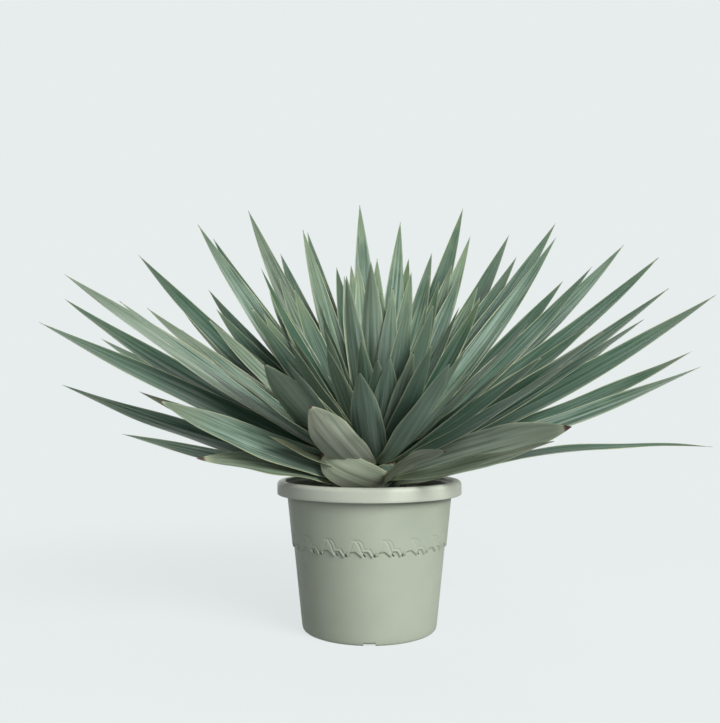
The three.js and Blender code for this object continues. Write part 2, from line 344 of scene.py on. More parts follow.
def pot_profile(band_step):
    """[radius, height] points of the outside, rim, lip and inside, and how many lead up to the lip."""
    slope = (WALL_TOP_RADIUS - FOOT_RADIUS - band_step) / LIP_UNDER

    def wall_points(inset, *spans):
        heights = np.concatenate([np.linspace(*span) for span in spans])
        return [(FOOT_RADIUS + slope * height - inset, height) for height in heights]

    outline = [(0, 0), (PAD_RADIUS, 0), (PAD_RADIUS, FOOT_RING_HEIGHT)]
    outline += [(FOOT_RADIUS - 30 * MM, FOOT_RING_HEIGHT), (FOOT_RING_INSIDE, FOOT_RING_HEIGHT)]
    outline += [(FOOT_RING_INSIDE, 0)]
    outline += arc((FOOT_RADIUS - FOOT_ROUND, FOOT_ROUND), FOOT_ROUND, -90, -8, 6)
    outline += wall_points(
        0, (7 * MM, BAND_LOW - 2 * MM, 14), (BAND_LOW, BAND_HIGH, 43), (BAND_HIGH + 4 * MM, LIP_UNDER, 8)
    )
    rows_to_lip = len(outline) - 1
    round_start = RIM_TOP - RIM_ROUND
    outline += wall_points(0, (LIP_UNDER + 4 * MM, round_start, 4))
    lip_inside = RIM_RADIUS - WALL
    outline += [(lip_inside - 4 * MM, round_start), (lip_inside - 1 * MM, round_start - 1 * MM)]
    outline += [(lip_inside, round_start - 5 * MM), (lip_inside, LIP_UNDER + 2 * MM)]
    outline += arc((RIM_RADIUS - WALL / 2, LIP_UNDER + WALL / 2), WALL / 2, -170, -5, 6)
    outline += [(RIM_RADIUS, LIP_UNDER + 5 * MM), (RIM_RADIUS, round_start - 4 * MM)]
    outline += arc((RIM_RADIUS - RIM_ROUND, round_start), RIM_ROUND, 0, 90, 9)
    outline += arc((MOUTH_RADIUS + MOUTH_ROUND, RIM_TOP - MOUTH_ROUND), MOUTH_ROUND, 90, 180, 7)
    outline += [(WALL_TOP_RADIUS - WALL, LIP_UNDER)]
    outline += wall_points(WALL - band_step, (LIP_UNDER - 6 * MM, BAND_HIGH, 6))
    outline += wall_points(WALL, (BAND_LOW + 10 * MM, FLOOR_TOP, 6))
    outline += [(0, FLOOR_TOP)]
    return outline, rows_to_lip


def line_depth(x, y, start, stop):
    """1 on the line from start to stop, falling to 0 at its half width."""
    line = np.array(stop) - np.array(start)
    share = ((x - start[0]) * line[0] + (y - start[1]) * line[1]) / (line @ line)
    share = np.clip(share, 0, 1)
    apart = np.hypot(x - start[0] - share * line[0], y - start[1] - share * line[1])
    return np.clip(1 - apart / LINE_HALF_WIDTH, 0, 1) ** 1.2


# One moulded motif, in mm across it and above the band's edge: its width, its turn round the pot as a share
# of that width, the slashed edge under it and the height over which that rises, half the width of a line, and
# the lines with their share of the groove's depth.
MOTIF_WIDTH = 49.0
MOTIF_TURN = 0.19
EDGE_ACROSS = [0, 10, 17, 21, 24, 31, 35, 38, 42, 46, 49]
EDGE_HEIGHTS = [7, 8, 3, 0, 8, 8, 3, -1, 6, 1, 7]
EDGE_RAMP = 1.8
LINE_HALF_WIDTH = 1.5
MOTIF_LINES = (
    ([(6, 24.5), (14, 25.5), (21, 22.5)], 0.8),
    ([(11, 24.5), (16, 19.5), (19, 13), (22, 6), (27, 1)], 1.0),
    ([(21, 22.5), (24, 16), (25.5, 12.5)], 0.7),
    ([(24, 12), (36, 12)], 0.6),
    ([(34, 12), (38, 7), (43, 0.5)], 1.0),
    ([(43, 8), (48.5, 1)], 0.6),
    ([(8, 23.5), (4, 15), (1, 7)], 0.5),
)


def band_relief(settings, around, height):
    """How far the wall stands out at the moulded band: a step with a slashed edge, and grooved arches."""
    pitch = 2 * math.pi / settings.motifs
    x = (around / pitch + MOTIF_TURN) % 1.0 * MOTIF_WIDTH
    y = (height - BAND_EDGE) / MM
    edge = np.interp(x, EDGE_ACROSS, EDGE_HEIGHTS)
    step = settings.band_step * np.clip((y - edge) / EDGE_RAMP + 0.5, 0, 1)
    groove = np.zeros_like(x)
    for points, depth in MOTIF_LINES:
        for start, stop in zip(points, points[1:]):
            groove = np.maximum(groove, depth * line_depth(x, y, start, stop))
    return step - settings.groove_depth * groove


class YUCCA_OT_pot(bpy.types.Operator):
    """Make the moulded pot with its rolled rim and relief band"""

    bl_idname = "yucca.pot"
    bl_label = "Pot"

    def execute(self, context):
        settings = context.scene.yucca_pot
        profile, rows_to_lip = pot_profile(settings.band_step)

        def reshape(radius, height, around):
            outside = np.arange(len(radius))[:, None] < rows_to_lip
            banded = outside & (height >= BAND_LOW) & (radius < WALL_TOP_RADIUS + 1 * MM)
            return radius + np.where(banded, band_relief(settings, around, height), 0), height

        points, faces = turned_mesh(profile, 768, reshape)
        piece = new_piece("pot_moulding", points, faces, pot_material(settings), ["pot"])
        cut_pot(piece)
        return {"FINISHED"}


HOLES = 6
HOLE_RADIUS = 6 * MM
HOLE_CIRCLE = 68 * MM
NOTCHES = 3
NOTCH_CIRCLE = 104 * MM
NOTCH_SIZE = (24 * MM, 18 * MM, 7 * MM)


def on_circle(radius, turn, height):
    return radius * math.cos(turn), radius * math.sin(turn), height


def cut_pot(piece):
    """Drainage holes in the floor and notches in the foot ring."""
    cutters = []
    for hole in range(HOLES):
        place = on_circle(HOLE_CIRCLE, 2 * math.pi * hole / HOLES, 6 * MM)
        bpy.ops.mesh.primitive_cylinder_add(vertices=32, radius=HOLE_RADIUS, depth=20 * MM, location=place)
        cutters.append(bpy.context.object)
    for notch in range(NOTCHES):
        turn = -math.pi / 2 + 2 * math.pi * notch / NOTCHES
        place = on_circle(NOTCH_CIRCLE, turn, 0)
        bpy.ops.mesh.primitive_cube_add(size=1.0, location=place, rotation=(0, 0, turn), scale=NOTCH_SIZE)
        cutters.append(bpy.context.object)
    for cutter in cutters:
        cut = piece.modifiers.new("cut", "BOOLEAN")
        cut.operation = "DIFFERENCE"
        cut.object = cutter
        cut.solver = "EXACT"
    bake_modifiers(piece)
    for cutter in cutters:
        bpy.data.objects.remove(cutter)


def bake_modifiers(piece):
    """Swap the piece's mesh for the one its modifiers give."""
    graph = bpy.context.evaluated_depsgraph_get()
    final = bpy.data.meshes.new_from_object(piece.evaluated_get(graph))
    old = piece.data
    piece.modifiers.clear()
    piece.data = final
    bpy.data.meshes.remove(old)


# ---- Soil and stem ----------------------------------------------------------------------------------

SOIL_EDGE = SOIL_HIGH.x - 0.2 * MM
SOIL_FOOT = 105.5 * MM
SOIL_TOP = SOIL_HIGH.z
SOIL_MOUND = 9 * MM
SOIL_LEVEL = SOIL_TOP - SOIL_MOUND


def soil_material(settings):
    nodes = Nodes("potting_soil")
    place = place_of_surface(nodes)
    lumps = nodes.noise(place, 220.0, 6.0, 0.7)
    fibre = nodes.noise(nodes.scaled(place, (1.0, 0.25, 1.0)), 700.0, 3.0, 0.6)
    base = nodes.mix(nodes.span(lumps, 0.42, 0.66), settings.wet_colour, settings.dry_colour)
    base = nodes.mix(nodes.span(fibre, 0.62, 0.74, 0.0, 0.7), base, (0.16, 0.095, 0.06))
    normal = nodes.bump(nodes.math("ADD", lumps, fibre), 1.5 * MM, 0.9)
    rough = nodes.span(lumps, 0.3, 0.7, 0.75, 0.98)
    return nodes.surface({"Base Color": base, "Roughness": rough, "Normal": normal})


def wavy(x, y, seed, scale):
    """Smooth bumps between about -1 and 1 from a few crossed waves."""
    chance = np.random.default_rng(seed)
    total = np.zeros_like(x)
    for octave in range(7):
        angle, phase = chance.uniform(0, 2 * math.pi, 2)
        rate = scale * 1.6**octave
        total += np.sin((x * math.cos(angle) + y * math.sin(angle)) * rate + phase) / 1.45**octave
    return total / 2.2


class YUCCA_OT_soil(bpy.types.Operator):
    """Make the crumbly potting mix"""

    bl_idname = "yucca.soil"
    bl_label = "Soil"

    def execute(self, context):
        settings = context.scene.yucca_soil
        material = soil_material(settings)
        profile = [(0, SOIL_LOW.z), (SOIL_FOOT, SOIL_LOW.z)]
        profile += [(SOIL_EDGE - 3 * MM, SOIL_LEVEL - 40 * MM), (SOIL_EDGE, SOIL_LEVEL - 2 * MM)]
        for radius in np.linspace(SOIL_EDGE - 2 * MM, 3 * MM, 70):
            profile.append((radius, mound_height(radius, SOIL_MOUND - 1 * MM)))
        profile.append((0, SOIL_TOP))

        def reshape(radius, height, around):
            x, y = radius * np.cos(around), radius * np.sin(around)
            rough = wavy(x, y, 5, 90.0) * 1.4 * MM + wavy(x, y, 6, 420.0) * 0.7 * MM
            return radius, height + np.where(height > SOIL_LEVEL - 1 * MM, rough, 0)

        points, faces = turned_mesh(profile, 260, reshape)
        new_piece("soil_bed", points, faces, material, ["soil"])
        points, faces = crumbs(settings)
        new_piece("soil_crumbs", points, faces, material)
        return {"FINISHED"}


def mound_height(radius, rise):
    """Height of the soil at a radius, mounded towards the stem."""
    return SOIL_LEVEL + rise * math.sin(math.pi / 2 * (1 - radius / SOIL_EDGE))


def crumbs(settings):
    """Points and faces of loose, lumpy crumbs strewn over the mound."""
    chance = np.random.default_rng(11)
    lump = bmesh.new()
    bmesh.ops.create_icosphere(lump, subdivisions=2, radius=1.0)
    ball = np.array([v.co[:] for v in lump.verts])
    ball_faces = [[v.index for v in f.verts] for f in lump.faces]
    lump.free()
    reach = SOIL_EDGE - 1 * MM
    points, faces = [], []
    for crumb in range(settings.crumbs):
        radius = SOIL_EDGE * math.sqrt(chance.uniform(0.06, 0.97))
        turn = chance.uniform(0, 2 * math.pi)
        size = settings.crumb_size * chance.lognormal(0, 0.35)
        stretch = chance.uniform(0.6, 1.3, 3) * size
        bumps = 1 + 0.22 * np.sin(ball @ chance.uniform(-4, 4, 3) + chance.uniform(0, 6))
        tumble = np.linalg.qr(chance.normal(size=(3, 3)))[0]
        shape = (ball * bumps[:, None] * stretch) @ tumble.T
        centre = np.array(on_circle(radius, turn, mound_height(radius, SOIL_MOUND) + 0.5 * MM))
        out = np.hypot(shape[:, 0] + centre[0], shape[:, 1] + centre[1]).max()
        if out > reach:
            centre[:2] *= (reach - (out - radius)) / radius
        start = crumb * len(ball)
        points.append(shape + centre)
        faces += [[start + corner for corner in face] for face in ball_faces]
    return np.vstack(points), faces


def stem_material():
    nodes = Nodes("stem")
    place = place_of_surface(nodes)
    fibre = nodes.noise(nodes.scaled(place, (1.0, 1.0, 0.12)), 500.0, 4.0, 0.6)
    patch = nodes.noise(place, 40.0, 3.0)
    base = nodes.mix(nodes.span(fibre, 0.3, 0.7), (0.10, 0.085, 0.035), (0.30, 0.29, 0.15))
    base = nodes.mix(nodes.span(patch, 0.5, 0.7, 0.0, 0.6), base, (0.20, 0.25, 0.10))
    normal = nodes.bump(fibre, 0.8 * MM, 0.8)
    rough = nodes.span(patch, 0.3, 0.7, 0.6, 0.85)
    return nodes.surface({"Base Color": base, "Roughness": rough, "Normal": normal})


# The foot's radius as a share of the stem's, and the leaf scars: their depth as the same share, and how many
# radians they turn on for each mm of height.
STEM_FOOT = 0.79
SCAR_DEPTH = 0.035
SCAR_TURN = 0.32


class YUCCA_OT_stem(bpy.types.Operator):
    """Make the short stem, ringed with old leaf bases"""

    bl_idname = "yucca.stem"
    bl_label = "Stem"

    def execute(self, context):
        profile = [(0, STEM_LOW.z), (STEM_RADIUS * STEM_FOOT, STEM_LOW.z)]
        for share in (0.3, 0.6, 0.9):
            radius = STEM_RADIUS * (STEM_FOOT + (1 - STEM_FOOT) * share)
            profile.append((radius, STEM_LOW.z + (STEM_TALL - STEM_DOME) * share))
        dome = STEM_HIGH.z - STEM_DOME
        for climb in np.radians(np.linspace(1, 88, 48)):
            profile.append((STEM_RADIUS * math.cos(climb), dome + STEM_DOME * math.sin(climb)))
        profile.append((0, STEM_HIGH.z))

        def reshape(ring, height, around):
            turn = (height - STEM_LOW.z) / MM * SCAR_TURN
            scales = np.abs(np.sin(around * 5 + turn)) * np.abs(np.sin(turn - around * 3))
            return ring * (1 - SCAR_DEPTH * (1 - scales)), height

        points, faces = turned_mesh(profile, 120, reshape)
        points[:, 0] += STEM_X
        new_piece("stem_core", points, faces, stem_material(), ["stem"])
        return {"FINISHED"}


# ---- Leaves -----------------------------------------------------------------------------------------

def leaf_material(name, settings, olive_share, tip_colour, tip_share):
    """A waxy blade: fine lengthwise streaks, pale bloom, a thin yellow margin and a dry brown point."""
    nodes = Nodes(name)
    grain = nodes.attribute("grain", "Vector")
    along = nodes.attribute("along")
    inset = nodes.attribute("inset")
    side = nodes.attribute("side")
    tone = nodes.attribute("tone")
    calm = nodes.span(along, 0.55, 0.95, 1.0, 0.25)

    def calmed(value):
        return nodes.math("ADD", nodes.math("MULTIPLY", nodes.math("SUBTRACT", value, 0.5), calm), 0.5)

    streaks = calmed(nodes.noise(nodes.scaled(grain, (520.0, 6.0, 1.0)), 1.0, 1.0, 0.5))
    stripes = calmed(nodes.noise(nodes.scaled(grain, (210.0, 3.5, 3.0)), 1.0, 1.0, 0.5))
    clouds = nodes.noise(nodes.scaled(grain, (30.0, 12.0, 5.0)), 1.0, 3.0, 0.55)
    specks = nodes.noise(nodes.scaled(grain, (300.0, 130.0, 7.0)), 1.0, 2.0, 0.6)
    base = nodes.mix(nodes.span(clouds, 0.32, 0.68), settings.deep, settings.green)
    base = nodes.mix(nodes.span(nodes.attribute("fold"), -1.2, 1.2, 0.0, 0.45), base, settings.bloom)
    base = nodes.mix(nodes.span(stripes, 0.48, 0.68, 0.0, 0.68), base, settings.bloom)
    base = nodes.mix(nodes.span(stripes, 0.46, 0.30, 0.0, 0.55), base, settings.deep)
    base = nodes.mix(nodes.span(streaks, 0.54, 0.68, 0.0, 0.55), base, (0.43, 0.49, 0.46))
    base = nodes.mix(nodes.span(streaks, 0.46, 0.32, 0.0, 0.50), base, (0.030, 0.055, 0.034))
    olive = nodes.math("MULTIPLY", nodes.span(tone, 0.25, 1.0), olive_share)
    base = nodes.mix(olive, base, settings.olive)
    # Low tone mixes in deep green: given or random tone, and painted shade on blades towards +X and on the
    # leaf bases.
    base = nodes.mix(nodes.span(tone, 0.55, 0.10, 0.0, 0.80), base, settings.deep)
    base = nodes.mix(nodes.span(side, 1.0, -1.0, 0.0, 0.22), base, settings.bloom)
    base = nodes.mix(nodes.span(along, 0.14, 0.0, 0.0, 0.45), base, (0.24, 0.27, 0.14))
    dusted = nodes.math("MULTIPLY", nodes.attribute("dust"), nodes.span(stripes, 0.30, 0.62, 0.35, 1.0))
    base = nodes.mix(dusted, base, settings.dust)
    ripe = nodes.math("MULTIPLY", nodes.span(along, 0.62, 1.0), nodes.span(clouds, 0.40, 0.60, 0.4, 1.0))
    base = nodes.mix(nodes.math("MULTIPLY", ripe, tip_share), base, tip_colour)
    ragged = nodes.math("ADD", inset, nodes.span(streaks, 0.3, 0.7, -0.25, 0.25))
    soft_edge = nodes.math("MULTIPLY", nodes.span(ragged, 2.4, 0.6, 0.0, 0.55), calm)
    base = nodes.mix(soft_edge, base, settings.margin)
    edge = nodes.math("MULTIPLY", nodes.span(ragged, 0.85, 0.40), nodes.span(clouds, 0.30, 0.55, 0.35, 0.95))
    edge = nodes.math("MULTIPLY", edge, calm)
    base = nodes.mix(edge, base, settings.margin)
    scars = nodes.noise(nodes.scaled(grain, (120.0, 55.0, 9.0)), 1.0, 4.0, 0.7)
    worn = nodes.span(nodes.attribute("wear"), 0.4, 1.1)
    scar_share = nodes.math("MULTIPLY", nodes.span(scars, 0.68, 0.75), worn)
    base = nodes.mix(scar_share, base, (0.26, 0.19, 0.11))
    base = nodes.mix(nodes.span(specks, 0.74, 0.80, 0.0, 0.5), base, (0.42, 0.45, 0.36))
    left = nodes.math("SUBTRACT", 1.0, along)
    reach = nodes.math("DIVIDE", left, nodes.attribute("burn"))
    reach = nodes.math("ADD", reach, nodes.span(stripes, 0.3, 0.7, -0.25, 0.25))
    base = nodes.mix(nodes.span(reach, 2.6, 1.0, 0.0, 0.35), base, settings.margin)
    base = nodes.mix(nodes.span(reach, 1.25, 0.85), base, settings.spine)
    rough = nodes.span(clouds, 0.3, 0.7, 0.42, 0.56)
    relief = nodes.math("ADD", nodes.math("MULTIPLY", streaks, 0.6), stripes)
    normal = nodes.bump(relief, 0.45 * MM, 0.9)
    return nodes.surface({
        "Base Color": base, "Roughness": rough, "Normal": normal, "Specular IOR Level": 0.40,
    })


RING_POINTS = 8


def frame_rings(node):
    """Rings of points of a frame blade from its base, and its tip."""
    mesh = bmesh.new()
    mesh.from_mesh(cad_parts[node].data)
    bmesh.ops.remove_doubles(mesh, verts=mesh.verts, dist=0.02 * MM)
    stem = (STEM_LOW + STEM_HIGH) / 2
    tip = max(mesh.verts, key=lambda v: (v.co - stem).length)
    seen, rings, front = {tip}, [], [tip]
    while front:
        following = []
        for vert in front:
            for edge in vert.link_edges:
                other = edge.other_vert(vert)
                if other not in seen:
                    seen.add(other)
                    following.append(other)
        if following:
            rings.append(np.array([v.co[:] for v in following]))
        front = following
    end = np.array(tip.co[:])
    mesh.free()
    for ring in rings:
        if len(ring) != RING_POINTS:
            raise ValueError(f"{node} has a ring of {len(ring)} points, not {RING_POINTS}")
    return rings[::-1], end


def read_blade(node):
    """Middle line, across direction and width of a frame blade at even stations, base to tip."""
    rings, end = frame_rings(node)
    middle, edges, width, hollow = [], [], [], []
    for ring in rings:
        apart = np.linalg.norm(ring[:, None] - ring[None, :], axis=-1)
        left, right = np.unravel_index(apart.argmax(), apart.shape)
        span = ring[right] - ring[left]
        centre = (ring[right] + ring[left]) / 2
        rest = [ring[corner] for corner in range(RING_POINTS) if corner not in (left, right)]
        rest.sort(key=lambda p: abs((p - centre) @ span))
        middle.append((rest[0] + rest[1]) / 2)
        edges.append(span / np.linalg.norm(span))
        width.append(np.linalg.norm(span))
        hollow.append(centre - middle[-1])
    middle.append(end)
    edges.append(edges[-1])
    hollow.append(hollow[-1])
    width.append(0.0)
    middle, edges, hollow = np.array(middle), np.array(edges), np.array(hollow)
    ahead = unit(np.gradient(middle, axis=0))
    face = np.cross(ahead, edges)
    flip = np.sign((face * hollow).sum(axis=1))
    return middle, edges * flip[:, None], np.array(width)


def rule_blade(bearing, rise, size, width, lift):
    """The same three things for a blade given by its bearing, rise, length, width and lift in degrees.

    It bends up along an arc, sits on the dome lower than it points, and rolls more towards the sides.
    """
    heading, climb = math.radians(bearing), math.radians(rise)
    level = np.array([math.cos(heading), math.sin(heading), 0.0])
    up = np.array([0.0, 0.0, 1.0])
    seat = math.radians((rise - 4) * 0.85)
    base = level * (STEM_RADIUS * math.cos(seat) - 1 * MM)
    base += [STEM_X, 0, STEM_HIGH.z - STEM_DOME + STEM_DOME * math.sin(seat)]
    chord = level * math.cos(climb) + up * math.sin(climb)
    normal = up * math.cos(climb) - level * math.sin(climb)
    flat = np.array([-math.sin(heading), math.cos(heading), 0.0])
    shares = np.linspace(0, 1, 9)
    turn = math.radians(lift)
    bend = size / (2 * math.sin(turn / 2))
    swing = turn * (shares - 0.5)
    above = bend * (math.cos(turn / 2) - np.cos(swing))
    middle = base + np.outer(size / 2 + bend * np.sin(swing), chord) + np.outer(above, normal)
    roll = math.radians(42) * math.cos(heading)
    raised = np.outer(np.cos(swing), normal) - np.outer(np.sin(swing), chord)
    across = flat * math.cos(roll) + raised * math.sin(roll)
    return middle, across, width * np.sin(math.pi * (0.2 + 0.8 * shares) / 1.25)


def bent_blade(points, widths, facing):
    """A blade through points, base to tip, whose upper side looks towards facing."""
    middle = spline(np.array(points, float), np.linspace(0, 1, 9))
    ahead = unit(np.gradient(middle, axis=0))
    across = np.cross(np.array(facing, float), ahead)
    return middle, unit(across), spline(np.array(widths, float), np.linspace(0, 1, 9))


def turned_blade(blade, start, stop):
    """The same blade, rolled about its middle line from start degrees at its base to stop at its tip."""
    middle, across, width = blade
    ahead = unit(np.gradient(middle, axis=0))
    roll = np.radians(np.linspace(start, stop, len(middle)))[:, None]
    return middle, across * np.cos(roll) + np.cross(ahead, across) * np.sin(roll), width


def blade_widths(width, share, blunt):
    """Widths from a broad clasping base over the widest place to the point."""
    widest, place, clasp = width.max(), 0.40, 0.60
    swell = widest * (clasp + (1 - clasp) * np.sin(math.pi / 2 * np.minimum(share / place, 1)))
    runout = widest * (1 - np.maximum((share - place) / (1 - place), 0) ** blunt)
    return np.where(share < place, swell, runout)


# How a blade differs from a plain one: its roll in degrees at the base and the tip, bluntness (1.75 is a
# long point), dry share at the tip, breadth, dustiness, tone from 0 for deep green to 1 for olive, where low
# tone also serves as painted shade, and how far it arches up at its middle. A tone or dry share of None is
# left to chance.
HABIT_FIELDS = "roll roll_tip blunt burn breadth dust tone arch"
Habit = namedtuple("Habit", HABIT_FIELDS, defaults=(0, 0, 1.75, None, 1.0, 0.0, None, 0.0))
PLAIN = Habit()


def blade_relief(settings, share, wide, v, wave, chance):
    """Height of a blade's middle layer over its flat, and its pleats, by station and place across."""
    phases = chance.uniform(0, 2 * math.pi, 6)
    calm = np.sin(math.pi * np.clip(share, 0, 1)) ** 0.6
    clasp = np.maximum(1 - share / 0.22, 0) ** 1.5
    hollow = wide * (0.10 + 0.16 * clasp) * (1 - 0.3 * share)
    channel = hollow[:, None] * (0.75 * v**2 + 0.25 * np.abs(v))
    drift = 0.5 * np.sin(2 * math.pi * share * 0.8 + phases[4])[:, None]
    broad = np.sin(2 * math.pi * 1.7 * v + phases[0] + drift)
    pleats = broad + 0.55 * np.sin(2 * math.pi * 3.3 * v + phases[1])
    folded = settings.pleat * (calm * np.minimum(wide / (30 * MM), 1.2))[:, None] * (1 - v**2) * pleats
    ripple = np.sin(2 * math.pi * share * chance.uniform(1.6, 3.2) + phases[2])[:, None]
    other = np.sin(2 * math.pi * share * chance.uniform(1.2, 2.6) + phases[3])[:, None]
    edges = ripple * np.maximum(v, 0) ** 2 + other * np.maximum(-v, 0) ** 2
    return channel + folded + wave * 1.3 * MM * calm[:, None] * edges, pleats


def blade_faces(rows, columns):
    """Faces round each station's loop of points, to the tip, and over the base."""
    loop = 2 * columns
    tip = rows * loop
    faces = []
    for row in range(rows - 1):
        for here in range(loop):
            side = (here + 1) % loop
            low = row * loop
            faces.append((low + here, low + loop + here, low + loop + side, low + side))
    last = (rows - 1) * loop
    faces += [(last + here, tip, last + (here + 1) % loop) for here in range(loop)]
    faces += [(here, here + 1, loop - 2 - here, loop - 1 - here) for here in range(columns - 1)]
    return faces


def blade_piece(name, blade, settings, slot, seed, habit=PLAIN, wear=0.3, wave=1.0, replaced=()):
    """A thin, channelled and pleated blade over a middle line."""
    middle, across, width = blade
    chance = np.random.default_rng(seed)
    rows, columns = settings.stations, settings.columns
    loop = 2 * columns
    share = 1 - (1 - np.linspace(0, 1, rows + 1)) ** 1.3
    line = spline(middle, share)
    ahead = unit(np.gradient(line, axis=0))
    edge = spline(across, share)
    edge = unit(edge - (edge * ahead).sum(axis=1)[:, None] * ahead)
    face = np.cross(ahead, edge)
    reach = np.linalg.norm(np.diff(line, axis=0), axis=1).sum()
    wide = blade_widths(width, share, habit.blunt)
    v = np.sin(math.pi / 2 * np.linspace(-1, 1, columns))
    mid, pleats = blade_relief(settings, share, wide, v, wave, chance)
    thick = (settings.thickness * (1 - 0.55 * share))[:, None] * (1 - 0.80 * np.abs(v) ** 2.4)
    thick = thick * np.clip(wide / (9 * MM), 0.25, 1)[:, None]

    def layer(height):
        flat = line[:, None] + edge[:, None] * (v * wide[:, None] / 2)[:, :, None]
        return (flat + face[:, None] * height[:, :, None])[:-1]

    rings = np.concatenate([layer(mid + thick / 2), layer(mid - thick / 2)[:, ::-1]], axis=1)
    points = np.vstack([rings.reshape(-1, 3), line[-1]])
    count = len(points)
    both = np.concatenate([v, v[::-1]])
    # Painted shade: blades whose tips reach far along +X have their random tone lowered, so they take more
    # deep green.
    painted_shade_factor = 1 - 0.50 * min(max(line[-1][0] / 0.4, 0), 1)
    tone = chance.uniform(0, 1) * painted_shade_factor if habit.tone is None else habit.tone
    worn = wear * chance.uniform(0.4, 1.6)
    burn = 0.004 + 0.012 * chance.uniform() ** 2 if habit.burn is None else habit.burn
    metres_across = np.append((both * wide[:-1, None] / 2).ravel(), 0)
    metres_along = np.append(np.repeat(share[:-1] * reach, loop), reach)
    inset = np.repeat(wide[:-1] / 2, loop) * (1 - np.tile(np.abs(both), rows))
    attributes = {
        "along": np.append(np.repeat(share[:-1], loop), 1.0),
        "inset": np.append(inset, 0.0) / MM,
        "side": np.append(np.tile(np.repeat([1.0, -1.0], columns), rows), 0.0),
        "tone": np.full(count, tone),
        "dust": np.full(count, habit.dust),
        "wear": np.full(count, worn),
        "burn": np.full(count, burn),
        "fold": np.append(np.concatenate([pleats, pleats[:, ::-1]], axis=1)[:-1].ravel(), 0),
        "grain": np.stack([metres_across, metres_along, np.full(count, seed * 1.37)], axis=1),
    }
    crease = np.append(np.tile(np.abs(both) > 0.999, rows), True)
    material = bpy.data.materials[f"waxy_{slot}"]
    return new_piece(name, points, blade_faces(rows, columns), material, replaced, attributes, crease)


# Slot, wear and waviness of the leaves of each tier.
LEAF_KINDS = {
    "outer_leaf": ("old_leaf", 0.75, 1.6),
    "spreading_leaf": ("leaf", 0.35, 1.0),
    "rising_leaf": ("leaf", 0.25, 0.7),
    "heart_leaf": ("young_leaf", 0.1, 0.4),
}

SHORT_POINT = Habit(blunt=2.3, burn=0.010)
SHORT_POINTED = (
    "spreading_leaf_06", "rising_leaf_07", "rising_leaf_08", "rising_leaf_14", "rising_leaf_15",
    "rising_leaf_16", "heart_leaf_06", "heart_leaf_07", "heart_leaf_08",
)

LEAF_HABITS = {
    **dict.fromkeys(SHORT_POINTED, SHORT_POINT),
    "outer_leaf_01": Habit(-20, -20, 1.75, 0.020, breadth=0.8),
    "outer_leaf_02": Habit(tone=0.35),
    "outer_leaf_03": Habit(-6, -4, 2.6, 0.045, breadth=1.2, tone=0.62, arch=9 * MM),
    "outer_leaf_04": Habit(0, 20, 1.9, 0.020, dust=0.15),
    "outer_leaf_05": Habit(tone=0.30),
    "outer_leaf_06": Habit(-32, -28, 2.7, 0.016, breadth=1.2, tone=0.40),
    "outer_leaf_07": Habit(25, 45, 2.8, 0.035, breadth=1.35, dust=0.50, tone=0.45),
    "outer_leaf_10": Habit(30, 58, 3.2, 0.020, dust=0.95, tone=0.60),
    "outer_leaf_11": Habit(70, 80, 2.9, 0.035, breadth=0.62, dust=1.0, tone=0.80, arch=17 * MM),
    "spreading_leaf_01": Habit(tone=0.12),
    "spreading_leaf_02": Habit(tone=0.55),
    "spreading_leaf_07": Habit(20, 40, 2.4, 0.012, breadth=1.35, dust=0.1, tone=0.95),
    "spreading_leaf_12": Habit(0, 0, 2.1, 0.010, breadth=1.1, dust=0.1),
    "spreading_leaf_13": SHORT_POINT._replace(tone=0.45),
}


def make_leaf_materials(settings):
    leaf_material("waxy_old_leaf", settings, 0.75, (0.12, 0.115, 0.065), 0.45)
    leaf_material("waxy_leaf", settings, 0.30, (0.095, 0.125, 0.075), 0.55)
    leaf_material("waxy_young_leaf", settings, 0.15, (0.24, 0.29, 0.13), 0.38)


class YUCCA_OT_leaves(bpy.types.Operator):
    """Make a detailed blade for every leaf of the frame"""

    bl_idname = "yucca.leaves"
    bl_label = "Leaves"

    def execute(self, context):
        settings = context.scene.yucca_leaf
        make_leaf_materials(settings)
        names = sorted(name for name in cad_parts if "_leaf_" in name)
        for seed, node in enumerate(names):
            slot, wear, wave = LEAF_KINDS[node.rsplit("_", 1)[0]]
            habit = LEAF_HABITS.get(node, PLAIN)
            middle, across, width = turned_blade(read_blade(node), habit.roll, habit.roll_tip)
            middle[:, 2] += habit.arch * np.sin(math.pi * np.linspace(0, 1, len(middle)))
            blade = middle, across, width * habit.breadth
            blade_piece(f"{node}_blade", blade, settings, slot, seed, habit, wear, wave, [node])
        return {"FINISHED"}


